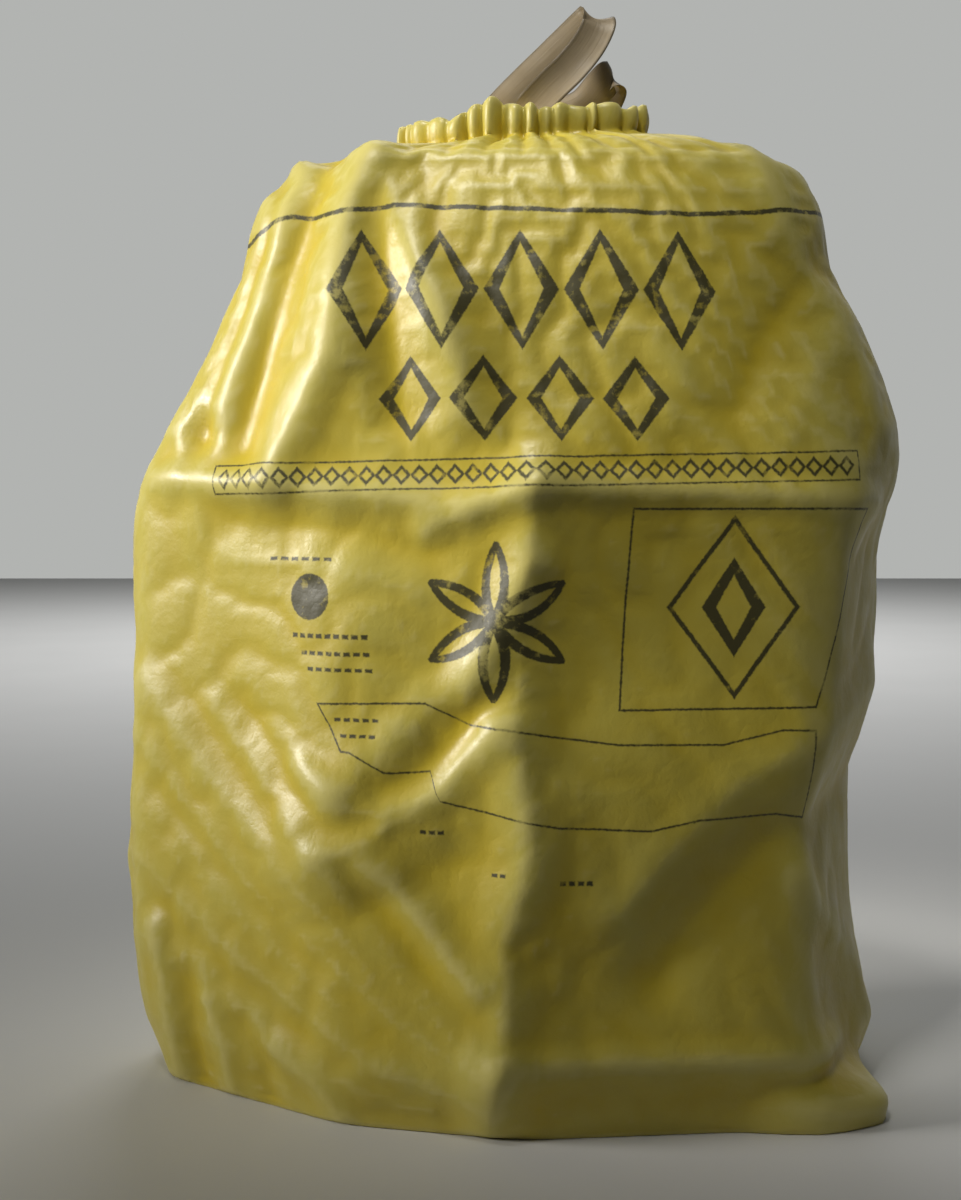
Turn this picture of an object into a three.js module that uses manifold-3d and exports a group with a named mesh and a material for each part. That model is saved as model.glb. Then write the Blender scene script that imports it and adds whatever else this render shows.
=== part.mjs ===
// A 110 litre sack for soft healthcare waste: a film sack standing full on its base, with its mouth gathered
// shut by a flat draw tape that stands up out of the gathers in one folded loop.
// Millimetres. X runs to the right, Y to the back, Z up. The sack's axis is at x = 0, y = 0 until the end.
import * as THREE from "three";
import { mergeVertices } from "three/addons/utils/BufferGeometryUtils.js";
import Module from "manifold-3d";

// The full sack
const BELLY_LEFT = 281; // from the axis to the widest place on the left
const BELLY_RIGHT = 302; // and on the right
const BELLY_FRONT = 160;
const BELLY_BACK = 162;
const SHOULDER_HEIGHT = 680; // floor to the edge where the wall turns over to the top
const FOOT_FOLD_HEIGHT = 48; // floor to the crease along the lower edge of the packed load
const FOOT_TUCK = 13; // how far the film draws in from that crease to the floor, front and back
const SIDE_TUCK = 0.4; // share of that at the left and right

// The corner of the flat bottom seam, which sticks out at the lower right
const SEAM_EAR_REACH = 54;
const SEAM_EAR_HEIGHT = 26;
const SEAM_EAR_ANGLE = -22; // degrees from +X, towards the front
const SEAM_EAR_SPREAD = 17; // degrees to each side

// The gathered mouth
const COLLAR_X = 14; // its middle, right of the axis
const COLLAR_Y = -2;
const COLLAR_HALF_WIDTH = 88;
const COLLAR_HALF_DEPTH = 44;
const COLLAR_RISE = 21; // shoulder edge to the foot of the collar, at its middle
const COLLAR_HEIGHT = 18; // the gathered hem, foot to rim
const COLLAR_SLOPE = 0.08; // rise of the collar to the right
const COLLAR_LIP = 9; // the hem's thickness where it is bunched
const DIMPLE_DEPTH = 13; // rim to the pinched middle
const PLEATS = 26;
const PLEAT_DEPTH = 6; // each way from the collar's middle line
const TOP_FULLNESS = 2.6; // how soon the top levels out from the shoulder to the collar, where 1 is straight

// The folds and lumps of the film over its load
const FOLD_RISE = 8; // how far the strongest fold stands out
const FOLD_REACH = 40; // how wide each flank of such a fold is
const LUMP_RISE = 3;

// The draw tape
const TAPE_WIDTH = 25;
const TAPE_THICKNESS = 0.6;
const TAPE_LOOP = 80; // how far the loop's fold stands above the floor of the mouth
const TAPE_SEAT = 17; // how far each end of the loop runs down into the gathers
const CLEARANCE = 0.3;

// Mesh steps
const COLUMNS = PLEATS * 4;
const WALL_STEPS = 30;
const TAPE_STEPS_A_SPAN = 4;

const YELLOW_FILM = new THREE.MeshStandardMaterial({ color: 0xbfa52e, roughness: 0.4, metalness: 0 });
const TAUPE_TAPE = new THREE.MeshStandardMaterial({ color: 0xa09178, roughness: 0.5, metalness: 0 });

const degrees = THREE.MathUtils.degToRad;
const mix = THREE.MathUtils.lerp;
const smooth = THREE.MathUtils.smoothstep;

// A smooth curve y(x) through a few [x, y] points.
function through(points, x) {
  const last = points.length - 1;
  if (x <= points[0][0]) return points[0][1];
  if (x >= points[last][0]) return points[last][1];
  const i = points.findIndex((p) => p[0] > x) - 1;
  const slope = (a, b) => (points[b][1] - points[a][1]) / (points[b][0] - points[a][0]);
  const here = slope(i, i + 1);
  const before = i > 0 ? slope(i - 1, i + 1) : here;
  const after = i + 2 <= last ? slope(i, i + 2) : here;
  const span = points[i + 1][0] - points[i][0];
  const t = (x - points[i][0]) / span;
  const [t2, t3] = [t * t, t * t * t];
  return (
    (2 * t3 - 3 * t2 + 1) * points[i][1] +
    (t3 - 2 * t2 + t) * span * before +
    (3 * t2 - 2 * t3) * points[i + 1][1] +
    (t3 - t2) * span * after
  );
}

// How far the wall reaches on each side, as [share of the shoulder height, share of the belly's reach].
const LEFT_REACH = [
  [0, 0.93], [0.08, 0.975], [0.17, 1], [0.32, 1], [0.49, 0.985], [0.57, 0.985], [0.64, 0.985], [0.69, 0.935],
  [0.79, 0.793], [0.89, 0.68], [0.96, 0.641], [1, 0.56],
];
const RIGHT_REACH = [
  [0, 0.905], [0.05, 0.935], [0.11, 0.91], [0.17, 0.889], [0.25, 0.881], [0.32, 0.889], [0.4, 0.918],
  [0.49, 0.945], [0.6, 0.955], [0.69, 1], [0.79, 0.925], [0.85, 0.85], [0.9, 0.8], [0.96, 0.775], [1, 0.725],
];
const FRONT_REACH = [
  [0, 1], [0.3, 0.985], [0.45, 0.955], [0.63, 0.925], [0.8, 0.79], [0.95, 0.63], [1, 0.53],
];
const BACK_REACH = [
  [0, 0.97], [0.3, 1.01], [0.5, 1], [0.63, 0.95], [0.8, 0.8], [0.95, 0.62], [1, 0.51],
];

// The plan of the lower sack, pressed flat by its load: each face's direction and its share of the reach.
const LOAD_FACES = [
  [-78.7, 0.981], [-113, 0.895], [-143, 0.83], [180, 1], [130, 1.06], [90, 1], [0, 1], [-15.7, 0.955],
].map(([direction, distance]) => [degrees(direction), distance]);
const LOAD_CRISPNESS = 40;
const LOAD_TWIST = 5; // degrees that the load turns from the floor to the shoulder
const SOFT_CRISPNESS = 2.3;

// Radius of a polygon with rounded corners, at an angle.
function loadPlan(angle) {
  const sum = LOAD_FACES.reduce(
    (total, [direction, distance]) =>
      total + (Math.max(0, Math.cos(angle - direction)) / distance) ** LOAD_CRISPNESS,
    0,
  );
  return sum ** (-1 / LOAD_CRISPNESS);
}

// Radius of the soft oval that the upper sack has.
function softPlan(angle) {
  const sum = Math.abs(Math.cos(angle)) ** SOFT_CRISPNESS + Math.abs(Math.sin(angle)) ** SOFT_CRISPNESS;
  return sum ** (-1 / SOFT_CRISPNESS);
}

// How far the corner of the bottom seam stands out, at a true angle and a height.
function seamEar(angle, height) {
  const off = Math.abs(angle - degrees(SEAM_EAR_ANGLE)) / degrees(SEAM_EAR_SPREAD);
  const low = 1 - smooth(height, SEAM_EAR_HEIGHT * 0.9, SEAM_EAR_HEIGHT * 1.3);
  return SEAM_EAR_REACH * Math.max(0, 1 - off) * low;
}

// A point of the wall, at an angle round the axis and a height.
function wall(angle, height) {
  const share = height / SHOULDER_HEIGHT;
  const across = Math.cos(angle);
  const along = Math.sin(angle);
  const softness = smooth(share, 0.55, 0.9);
  const plan = mix(loadPlan(angle - degrees(LOAD_TWIST) * share), softPlan(angle), softness);
  const tuck = FOOT_TUCK * Math.max(0, 1 - height / FOOT_FOLD_HEIGHT);
  const [side, sideReach] = across < 0 ? [BELLY_LEFT, LEFT_REACH] : [BELLY_RIGHT, RIGHT_REACH];
  const [depth, depthReach] = along < 0 ? [BELLY_FRONT, FRONT_REACH] : [BELLY_BACK, BACK_REACH];
  const x = plan * across * (side * through(sideReach, share) - SIDE_TUCK * tuck);
  const y = plan * along * (depth * through(depthReach, share) - tuck);
  const out = seamEar(Math.atan2(y, x), height) / Math.hypot(x, y);
  return new THREE.Vector3(x * (1 + out), y * (1 + out), height);
}

// The main folds: how much of FOLD_RISE each one has, where less than 0 is a valley, how much of FOLD_REACH,
// and the line of its crest. In front a point is [share of the belly's reach, share of the shoulder height].
const FRONT_FOLDS = [
  [1, 0.9, [[-0.33, 1.01], [-0.38, 0.95], [-0.41, 0.87], [-0.44, 0.79], [-0.5, 0.74], [-0.6, 0.67]]],
  [0.75, 0.75, [[-0.32, 1.01], [-0.26, 0.91], [-0.16, 0.84], [-0.12, 0.79], [-0.11, 0.74]]],
  [-0.62, 0.7, [[-0.31, 0.98], [-0.3, 0.88], [-0.28, 0.79], [-0.26, 0.74]]],
  [-0.75, 0.65, [[-0.46, 1], [-0.54, 0.9], [-0.61, 0.81], [-0.66, 0.7]]],
  [0.5, 0.6, [[-0.61, 0.96], [-0.66, 0.89], [-0.75, 0.8], [-0.84, 0.72]]],
  [0.5, 0.65, [[-0.9, 0.67], [-0.64, 0.66], [-0.26, 0.65], [-0.09, 0.64], [0.07, 0.66], [0.85, 0.64]]],
  [0.75, 1.05, [[0.07, 0.66], [0.05, 0.58], [0.02, 0.44], [0.05, 0.31], [0.02, 0.25], [-0.04, 0.01]]],
  [0.5, 0.55, [[-0.01, 0.08], [0.21, 0.09], [0.48, 0.09], [0.77, 0.08]]],
  [0.88, 0.75, [[-0.05, 0.49], [-0.18, 0.44], [-0.33, 0.38], [-0.53, 0.3]]],
  [-0.88, 0.7, [[-0.06, 0.44], [-0.16, 0.38], [-0.33, 0.33], [-0.51, 0.3]]],
  [0.5, 0.55, [[-0.51, 0.37], [-0.41, 0.34], [-0.31, 0.33], [-0.16, 0.35], [-0.02, 0.41]]],
  [0.5, 0.7, [[-0.43, 0.29], [-0.28, 0.26], [-0.18, 0.22], [-0.09, 0.16]]],
  [0.5, 0.65, [[-0.96, 0.44], [-0.62, 0.28], [-0.26, 0.14], [-0.02, 0.08]]],
  [0.5, 0.65, [[-0.98, 0.31], [-0.65, 0.19], [-0.3, 0.09], [-0.03, 0.05]]],
  [0.62, 1.15, [[0.91, 0.44], [0.72, 0.4], [0.52, 0.36], [0.38, 0.3], [0.25, 0.24]]],
  [-0.5, 1, [[0.86, 0.35], [0.59, 0.3], [0.43, 0.23], [0.33, 0.17]]],
  [0.5, 0.65, [[0.67, 0.26], [0.77, 0.2], [0.87, 0.13], [0.91, 0.07]]],
  [0.5, 0.9, [[0.57, 1.03], [0.67, 0.92], [0.81, 0.81], [0.89, 0.72]]],
];

// At the sides and behind a point is [degrees round from +X, share of the shoulder height].
const SIDE_FOLDS = [
  [0.75, 0.8, [[75, 1], [70, 0.85], [60, 0.7]]],
  [0.75, 0.8, [[110, 1], [118, 0.82], [132, 0.66]]],
  [-0.6, 0.7, [[92, 0.98], [90, 0.8], [95, 0.68]]],
  [0.4, 0.65, [[45, 0.66], [90, 0.63], [135, 0.65]]],
  [0.6, 1, [[100, 0.62], [96, 0.4], [100, 0.2], [97, 0.02]]],
  [0.7, 0.7, [[50, 0.52], [70, 0.4], [94, 0.3]]],
  [-0.6, 0.6, [[52, 0.46], [72, 0.33], [92, 0.26]]],
  [0.6, 0.7, [[140, 0.5], [122, 0.36], [104, 0.2]]],
  [0.4, 0.6, [[145, 0.42], [125, 0.27], [106, 0.12]]],
  [0.4, 0.55, [[60, 0.09], [95, 0.08], [135, 0.09]]],
  [0.4, 0.8, [[22, 0.95], [16, 0.8], [14, 0.66]]],
  [-0.4, 0.7, [[-14, 0.93], [-12, 0.8], [-16, 0.66]]],
  [0.3, 0.9, [[10, 0.6], [-7, 0.42], [6, 0.2], [4, 0.08]]],
  [0.5, 0.7, [[30, 0.5], [20, 0.36], [12, 0.26]]],
  [0.4, 0.8, [[163, 0.96], [166, 0.8], [163, 0.67]]],
  [-0.4, 0.7, [[190, 0.9], [187, 0.78], [193, 0.66]]],
  [0.3, 0.9, [[174, 0.6], [187, 0.42], [175, 0.22], [177, 0.06]]],
  [0.5, 0.7, [[156, 0.48], [166, 0.34], [172, 0.24]]],
];

// The load's lumps as waves: how often each comes round, how often up the wall, and where it starts.
const LUMP_WAVES = [[3, 2.2, 0.4], [5, -1.3, 2], [4, 3.1, 3.7], [7, 1.6, 5.1], [6, -2.7, 1.1], [2, -3.6, 4.4]];

// How far a point is from a line of points, in millimetres.
function distanceTo(line, across, up) {
  let nearest = Infinity;
  for (let i = 1; i < line.length; i++) {
    const [runX, runZ] = [line[i][0] - line[i - 1][0], line[i][1] - line[i - 1][1]];
    const [toX, toZ] = [across - line[i - 1][0], up - line[i - 1][1]];
    const share = THREE.MathUtils.clamp((toX * runX + toZ * runZ) / (runX ** 2 + runZ ** 2), 0, 1);
    nearest = Math.min(nearest, Math.hypot(toX - share * runX, toZ - share * runZ));
  }
  return nearest;
}

// How far some folds lift the film at a point, where scale turns their shares into millimetres.
function foldLift(folds, scale, across, up) {
  return folds.reduce((lift, [rise, reach, crest]) => {
    const away = distanceTo(crest.map(scale), across, up);
    return lift + rise * FOLD_RISE * Math.max(0, 1 - away / (reach * FOLD_REACH));
  }, 0);
}

// How far the load's lumps push the film out, less so towards the left and right edges, where it is taut.
function lumpLift(angle, share) {
  const sum = LUMP_WAVES.reduce(
    (total, [round, up, start]) => total + Math.cos(round * angle + 2 * Math.PI * up * share + start),
    0,
  );
  return (LUMP_RISE * sum * Math.sin(angle) ** 2) / Math.sqrt(LUMP_WAVES.length / 2);
}

// A point of the folded film, which is the wall moved along its normal.
function film(angle, height) {
  const share = height / SHOULDER_HEIGHT;
  const point = wall(angle, height);
  const round = wall(angle + degrees(1), height).sub(wall(angle - degrees(1), height));
  const up = wall(angle, height + 1).sub(wall(angle, height - 1));
  const normal = round.cross(up).normalize();
  const facingFront = THREE.MathUtils.clamp(-4 * normal.y, 0, 1);
  const inFront = ([across, high]) => [across * (across < 0 ? BELLY_LEFT : BELLY_RIGHT), high * SHOULDER_HEIGHT];
  const arc = degrees((BELLY_LEFT + BELLY_FRONT) / 2);
  const turn = ((THREE.MathUtils.radToDeg(angle) + 60) % 360) - 60;
  const alongside = ([direction, high]) => [direction * arc, high * SHOULDER_HEIGHT];
  const folds = mix(
    foldLift(SIDE_FOLDS, alongside, turn * arc, height),
    foldLift(FRONT_FOLDS, inFront, point.x, height),
    facingFront,
  );
  const clearOfEnds = smooth(height, 0, FOOT_FOLD_HEIGHT * 1.5) * (1 - smooth(share, 0.8, 1));
  const clearOfFloor = smooth(height, 0, FOOT_FOLD_HEIGHT / 2);
  return point.addScaledVector(normal, folds * clearOfFloor + lumpLift(angle, share) * clearOfEnds);
}

// The height of the collar's rim at a distance along X.
function rimHeight(x) {
  return SHOULDER_HEIGHT + COLLAR_RISE + COLLAR_HEIGHT + COLLAR_SLOPE * (x - COLLAR_X);
}

// A point of the gathered collar: inset is measured inwards from its outer line, drop down from its rim.
function collar(angle, inset, drop, pleat) {
  const wave = pleat * PLEAT_DEPTH * Math.sin(PLEATS * angle);
  const x = COLLAR_X + (COLLAR_HALF_WIDTH - inset + wave) * Math.cos(angle);
  const y = COLLAR_Y + (COLLAR_HALF_DEPTH - inset + wave) * Math.sin(angle);
  return new THREE.Vector3(x, y, rimHeight(x) - drop);
}

// A point of the top, from the shoulder edge (share 0) to the collar's foot (share 1).
function top(angle, share) {
  const edge = film(angle, SHOULDER_HEIGHT);
  const foot = collar(angle, 0, COLLAR_HEIGHT, share);
  const point = edge.clone().lerp(foot, share);
  point.z = mix(edge.z, foot.z, 1 - (1 - share) ** TOP_FULLNESS);
  return point;
}

// The sack's rings, from the middle of its base up the wall and over to the middle of its mouth.
function sackRings() {
  const heights = [0, 0.35, 0.85, 1.05, 1.3].map((share) => share * SEAM_EAR_HEIGHT);
  heights.push(FOOT_FOLD_HEIGHT);
  for (let i = 0; i <= WALL_STEPS; i++) {
    heights.push(mix(FOOT_FOLD_HEIGHT * 1.12, SHOULDER_HEIGHT, i / WALL_STEPS));
  }
  return [
    (angle) => wall(angle, 0).multiplyScalar(0),
    (angle) => wall(angle, 0).multiplyScalar(0.5),
    ...heights.map((height) => (angle) => film(angle, height)),
    (angle) => top(angle, 0.33),
    (angle) => top(angle, 0.66),
    (angle) => top(angle, 1),
    (angle) => collar(angle, 0, COLLAR_HEIGHT * 0.5, 1),
    (angle) => collar(angle, COLLAR_LIP * 0.1, COLLAR_LIP * 0.2, 1),
    (angle) => collar(angle, COLLAR_LIP * 0.5, 0, 0.8),
    (angle) => collar(angle, COLLAR_LIP, COLLAR_LIP * 0.3, 0.6),
    (angle) => collar(angle, COLLAR_LIP * 2, DIMPLE_DEPTH * 0.75, 0.3),
    (angle) => collar(angle, COLLAR_HALF_DEPTH * 0.75, DIMPLE_DEPTH, 0),
    () => new THREE.Vector3(COLLAR_X, COLLAR_Y, rimHeight(COLLAR_X) - DIMPLE_DEPTH),
  ];
}

// The sack as a lathe whose rings are then pressed to their own outlines.
function sackGeometry() {
  const rings = sackRings();
  const lastRow = rings.length - 1;
  const profile = rings.map((ring, row) => new THREE.Vector2(row === 0 || row === lastRow ? 0 : 1, row));
  const geometry = new THREE.LatheGeometry(profile, COLUMNS);
  const position = geometry.getAttribute("position");
  for (let column = 0; column <= COLUMNS; column++) {
    const angle = (2 * Math.PI * (column % COLUMNS)) / COLUMNS;
    rings.forEach((ring, row) => {
      const point = ring(angle);
      position.setXYZ(column * rings.length + row, point.x, point.y, point.z);
    });
  }
  return geometry;
}

// The loop of tape as [x, y, z, lean]: x, y and z are shares of the loop's height, from the middle of the
// mouth's pinched floor, and lean is the angle of the tape's width from level, turning down to the right.
// It climbs to the upper right, doubles back in front, turns under itself to the right, and drops behind.
const SEATED = -TAPE_SEAT / TAPE_LOOP;
const TAPE_RUN = [
  [-0.69, 0.1, SEATED, 49], [-0.55, 0.1, -0.05, 49], [-0.16, 0.07, 0.35, 49], [0.26, 0.04, 0.72, 47],
  [0.55, 0.01, 0.97, 34], [0.63, -0.03, 1.01, 12], [0.68, -0.09, 1, 10], [0.68, -0.14, 0.92, 20],
  [0.59, -0.16, 0.75, 35], [0.43, -0.19, 0.56, 38], [0.26, -0.19, 0.41, 44], [0.11, -0.15, 0.27, 50],
  [0.04, -0.07, 0.19, 56], [0.1, 0, 0.17, 62], [0.26, 0.04, 0.19, 68], [0.53, 0.05, 0.25, 74],
  [0.74, 0.05, 0.37, 80], [0.84, 0.1, 0.42, 82], [0.82, 0.16, 0.35, 76], [0.7, 0.19, 0.17, 70],
  [0.58, 0.16, -0.04, 64], [0.5, 0.14, SEATED, 60],
];

// The middle of the tape at a station, in the part's frame.
function tapeMiddle([x, y, z]) {
  const floor = rimHeight(COLLAR_X + x * TAPE_LOOP) - DIMPLE_DEPTH;
  return new THREE.Vector3(COLLAR_X + x * TAPE_LOOP, COLLAR_Y + y * TAPE_LOOP, floor + z * TAPE_LOOP);
}

// Which way the tape's width runs at a station.
function tapeAcross([, , , lean]) {
  return new THREE.Vector3(Math.cos(degrees(lean)), 0, -Math.sin(degrees(lean)));
}

// A flat band along the tape's run, from one station to another and past both by overrun.
function bandGeometry(width, thickness, from, to, overrun) {
  const middle = new THREE.CatmullRomCurve3(TAPE_RUN.map(tapeMiddle));
  const turning = new THREE.CatmullRomCurve3(TAPE_RUN.map(tapeAcross));
  const corners = [[-1, -1], [1, -1], [1, 1], [-1, 1]];
  const steps = Math.round((to - from) * TAPE_STEPS_A_SPAN);
  const places = [];
  for (let i = 0; i <= steps; i++) {
    const share = mix(from, to, i / steps) / (TAPE_RUN.length - 1);
    const tangent = middle.getTangent(share);
    const past = i === 0 ? -overrun : i === steps ? overrun : 0;
    const at = middle.getPoint(share).addScaledVector(tangent, past);
    const side = turning.getPoint(share);
    side.addScaledVector(tangent, -side.dot(tangent)).normalize();
    const face = new THREE.Vector3().crossVectors(tangent, side);
    for (const [a, b] of corners) {
      const corner = at.clone().addScaledVector(side, (a * width) / 2);
      corner.addScaledVector(face, (b * thickness) / 2);
      places.push(corner.x, corner.y, corner.z);
    }
  }
  const faces = [];
  for (let i = 0; i < steps; i++) {
    for (let k = 0; k < corners.length; k++) {
      const [here, next] = [i * 4 + k, i * 4 + ((k + 1) % 4)];
      faces.push(here, next, next + 4, here, next + 4, here + 4);
    }
  }
  const end = steps * 4;
  faces.push(0, 2, 1, 0, 3, 2, end, end + 1, end + 2, end, end + 2, end + 3);
  const geometry = new THREE.BufferGeometry();
  geometry.setAttribute("position", new THREE.Float32BufferAttribute(places, 3));
  geometry.setIndex(faces);
  return geometry;
}

const wasm = await Module();
wasm.setup();

function toSolid(geometry) {
  const bare = geometry.clone();
  bare.deleteAttribute("normal");
  bare.deleteAttribute("uv");
  const merged = mergeVertices(bare, 1e-3);
  return new wasm.Manifold(
    new wasm.Mesh({
      numProp: 3,
      vertProperties: merged.getAttribute("position").array,
      triVerts: new Uint32Array(merged.index.array),
    }),
  );
}

function toGeometry(solid) {
  const mesh = solid.getMesh();
  const geometry = new THREE.BufferGeometry();
  geometry.setAttribute("position", new THREE.BufferAttribute(mesh.vertProperties, 3));
  geometry.setIndex(new THREE.BufferAttribute(mesh.triVerts, 1));
  geometry.computeVertexNormals();
  return geometry;
}

// The slot in the gathers that one end of the tape runs down into.
function tapeSlot(from, to) {
  const [width, thickness] = [TAPE_WIDTH + 2 * CLEARANCE, TAPE_THICKNESS + 2 * CLEARANCE];
  return toSolid(bandGeometry(width, thickness, from, to, CLEARANCE));
}

function filmBag() {
  const last = TAPE_RUN.length - 1;
  const slots = [tapeSlot(0, 2), tapeSlot(last - 3, last)];
  const solid = slots.reduce((sack, slot) => sack.subtract(slot), toSolid(sackGeometry()));
  const mesh = new THREE.Mesh(toGeometry(solid), YELLOW_FILM);
  mesh.name = "film_bag";
  return mesh;
}

function drawTape() {
  const band = bandGeometry(TAPE_WIDTH, TAPE_THICKNESS, 0, TAPE_RUN.length - 1, 0);
  const mesh = new THREE.Mesh(band, TAUPE_TAPE);
  mesh.name = "draw_tape";
  return mesh;
}

const part = new THREE.Group();
part.add(filmBag(), drawTape());

// The part's origin is the middle of its base.
const box = new THREE.Box3().setFromObject(part, true);
for (const mesh of part.children) {
  mesh.position.set(-(box.min.x + box.max.x) / 2, -(box.min.y + box.max.y) / 2, -box.min.z);
}

export default part;
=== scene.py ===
# %% [markdown]
# # A full sack for healthcare waste
# The real object is a tube of thin yellow polythene, welded shut at the bottom and hemmed at the mouth. It
# is packed with soft waste round something box-like, and a flat draw tape gathers its mouth. This script
# dresses the plain solids of the frame: it makes the film with its folds, the hem, the tape and the finishes.
# Everything is in metres, with X to the right, Y to the back and Z up.

# %% Load the frame
import math

import bpy
import numpy as np
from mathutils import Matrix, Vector
from mathutils.bvhtree import BVHTree


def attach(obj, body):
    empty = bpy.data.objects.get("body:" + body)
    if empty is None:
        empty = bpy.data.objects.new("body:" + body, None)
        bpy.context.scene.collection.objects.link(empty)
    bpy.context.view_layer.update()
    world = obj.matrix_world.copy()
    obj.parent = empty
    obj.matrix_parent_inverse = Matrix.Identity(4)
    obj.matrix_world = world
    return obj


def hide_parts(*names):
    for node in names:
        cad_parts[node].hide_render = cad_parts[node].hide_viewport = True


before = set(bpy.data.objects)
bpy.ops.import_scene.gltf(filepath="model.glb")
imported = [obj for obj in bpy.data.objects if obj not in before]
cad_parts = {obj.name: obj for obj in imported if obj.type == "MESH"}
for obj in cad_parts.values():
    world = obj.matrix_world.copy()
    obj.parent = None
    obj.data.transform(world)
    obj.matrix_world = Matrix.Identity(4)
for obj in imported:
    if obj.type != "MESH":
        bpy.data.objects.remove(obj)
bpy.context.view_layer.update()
scene = bpy.context.scene
MM = 0.001


def link(name, data):
    """A new object for some data, in the scene, at the origin."""
    made = bpy.data.objects.new(name, data)
    scene.collection.objects.link(made)
    return made


# %% [markdown]
# ## The camera
# The photograph was taken from about 1.2 m in front, with the lens a little above the middle of the sack and
# tipped slightly down. A lens is easiest to set from its focal length in pixels: that number, over the
# picture's height in pixels, times the sensor's height, is the focal length in millimetres.

# %% Camera
PICTURE_HEIGHT = 1200
FOCAL_PIXELS = 1819
SENSOR = 36.0
CAMERA_PLACE = (-0.0242, -1.37, 0.4436)
CAMERA_DIP = 3.39

camera = link("camera", bpy.data.cameras.new("camera"))
camera.data.sensor_fit = "VERTICAL"
camera.data.sensor_height = SENSOR
camera.data.lens = SENSOR * FOCAL_PIXELS / PICTURE_HEIGHT
camera.location = CAMERA_PLACE
camera.rotation_euler = (math.radians(90 - CAMERA_DIP), 0, 0)
scene.camera = camera
print("lens", round(camera.data.lens, 1), "mm")

# %% [markdown]
# ## The rows and columns of the film
# Film keeps its area: it folds instead of stretching. To fold it, its surface is held as a plain grid of
# points, rows up the sack and columns round it, and grids are quick to work on with numpy. The wall's points
# come from rays shot outwards from the sack's axis at the solid, so the film lies where the solid says.

# %% Cast the wall
COLUMNS = 360
WALL_ROWS = 178
AXIS = np.array([-6.49, -2.11]) * MM
SHOULDER = 679 * MM
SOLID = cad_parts["film_bag"]

tree = BVHTree.FromObject(SOLID, bpy.context.evaluated_depsgraph_get())


def ray_out(angle, height):
    """Where a level ray from the axis leaves the solid."""
    start = Vector((AXIS[0], AXIS[1], height))
    hit, _, _, _ = tree.ray_cast(start, Vector((math.cos(angle), math.sin(angle), 0)))
    return hit


def even_angles(height, first, count):
    """Angles whose rays land at even steps along the girth, from a first angle."""
    turns = first + np.linspace(0, 2 * math.pi, 4 * count + 1)
    spots = np.array([ray_out(turn, height) for turn in turns])
    run = np.concatenate([[0], np.cumsum(np.linalg.norm(np.diff(spots, axis=0), axis=1))])
    return np.interp(np.linspace(0, run[-1], count, endpoint=False), run, turns), run[-1]


RIDGE_ANGLE = math.radians(-86)
angles, girth = even_angles(0.2, RIDGE_ANGLE, COLUMNS)
heights = np.linspace(1.2 * MM, SHOULDER, WALL_ROWS)
wall = np.array([[ray_out(angle, height) for angle in angles] for height in heights])
print("girth", round(girth, 3), "m, wall grid", wall.shape)

# %% [markdown]
# ## The gathered top
# Above the shoulder the film runs in to the mouth, where the tape bunches it to under a third of its girth.
# The hem is an oval ring, so these rows are worked out: they leave the shoulder's outline, meet the oval,
# climb it as the puffy hem, turn over at the rim and go down into the pinched mouth, down to one closing
# point. The rim isn't level: it waves, and in front of the tape's foot one flap of it stands higher.

# %% Rows over the top and across the base
COLLAR = np.array([7.51, -4.11]) * MM
COLLAR_HALF = np.array([88, 44]) * MM
RIM_HEIGHT = 719 * MM
RIM_SLOPE = 0.08
HEM = 20 * MM
HEM_PUFF = 3 * MM
MOUTH_FLOOR = 706 * MM
TOP_ROWS = 24
HEM_ROWS = 7
FLAP_X = -14 * MM
FLAP_HALF = 13 * MM
FLAP_RISE = 6 * MM

collar_angles = np.arctan2(wall[-1, :, 1] - COLLAR[1], (wall[-1, :, 0] - COLLAR[0]) * 0.5)
collar_x, collar_y = COLLAR[0] + COLLAR_HALF[0] * np.cos(collar_angles), np.sin(collar_angles)
flap = FLAP_RISE * np.exp(-((collar_x - FLAP_X) / FLAP_HALF) ** 2) * (collar_y < 0)
rim_wave = flap + sum(MM * 0.9 * np.sin(k * collar_angles + start)
                      for k, start in ((3, 0.5), (7, 1.9), (11, 4.1), (16, 2.2), (23, 5.0)))


def oval(inset, drop):
    """A ring of points inset from the collar's outline and below its rim."""
    x = COLLAR[0] + (COLLAR_HALF[0] - inset) * np.cos(collar_angles)
    y = COLLAR[1] + (COLLAR_HALF[1] - inset) * np.sin(collar_angles)
    rim = RIM_HEIGHT + RIM_SLOPE * (x - COLLAR[0])
    return np.stack([x, y, rim - drop + rim_wave * max(0, 1 - drop / HEM)], axis=1)


shoulder_ring, foot_ring = wall[-1], oval(0, HEM)
top = []
for share in np.linspace(0, 1, TOP_ROWS + 1)[1:]:
    ring = shoulder_ring * (1 - share) + foot_ring * share
    ring[:, 2] = shoulder_ring[:, 2] + (foot_ring[:, 2] - shoulder_ring[:, 2]) * (1 - (1 - share) ** 2.6)
    top.append(ring)
hem_shares = np.arange(1, HEM_ROWS + 1) / HEM_ROWS
hem = [oval(-HEM_PUFF * math.sin(share * 2.6), HEM * (1 - share)) for share in hem_shares]
lip = [oval(1 * MM, -0.8 * MM), oval(4 * MM, 0.2 * MM), oval(8 * MM, 4 * MM)]
inside = [oval(14 * MM, 8 * MM), oval(20 * MM, 11 * MM), oval(30 * MM, 13 * MM), oval(38 * MM, 13 * MM)]
base_rim = wall[0] * [1, 1, 0]
base = [base_rim * share + np.array([*AXIS, 0]) * (1 - share) for share in (0.25, 0.5, 0.75, 0.93, 0.99)]
surface = np.array([*base, *wall, *top, *hem, *lip, *inside])
FIRST_WALL = len(base)
FIRST_TOP = FIRST_WALL + WALL_ROWS
FIRST_HEM = FIRST_TOP + TOP_ROWS
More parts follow.
